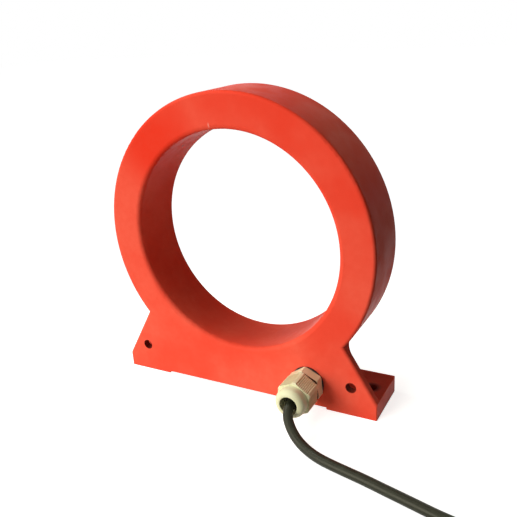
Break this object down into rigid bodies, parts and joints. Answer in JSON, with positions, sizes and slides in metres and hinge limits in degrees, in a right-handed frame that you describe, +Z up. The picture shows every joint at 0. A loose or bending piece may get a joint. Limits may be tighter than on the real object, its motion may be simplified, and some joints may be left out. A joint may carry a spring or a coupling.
{
  "type": "rigid rogowski coil",
  "caption": "Rigid current-sensing coil: a winding cast into a resin ring round a large conductor opening, on a footed base with fixing holes, with a gland and a signal cable.",
  "frame": {"origin": "middle of the base on its underside, at mid-depth", "axes": "+X right seen from the gland side, +Y along the conductor opening away from the gland, +Z up"},
  "size_m": [0.3622, 0.11, 0.195],
  "materials": {
    "cast_resin": "semi-matt casting",
    "former_plastic": "plain",
    "copper_wire": "enamelled copper wire",
    "sleeve_plastic": "shrunk sleeve",
    "core_white": "satin",
    "core_brown": "satin",
    "gland_plastic": "satin moulding",
    "gland_rubber": "matt",
    "cable_jacket": "satin",
    "tie_strap": "woven strap",
    "tinned_ferrule": "tin plated"
  },
  "bodies": {
    "root": {"coil_body": "cast_resin", "winding_former": "former_plastic", "return_conductor": "copper_wire", "toroid_winding": "copper_wire", "winding_lead": "copper_wire", "return_lead": "copper_wire", "solder_sleeves": "sleeve_plastic", "signal_core": "core_white", "return_core": "core_brown", "gland_washer": "gland_rubber", "gland_body": "gland_plastic", "gland_seal": "gland_rubber", "gland_cap": "gland_plastic", "cable_lead": "cable_jacket", "cable_coil": "cable_jacket", "cable_end": "cable_jacket", "coil_tie": "tie_strap", "signal_end": "core_white", "return_end": "core_brown", "end_ferrules": "tinned_ferrule"}
  },
  "joints": []
}
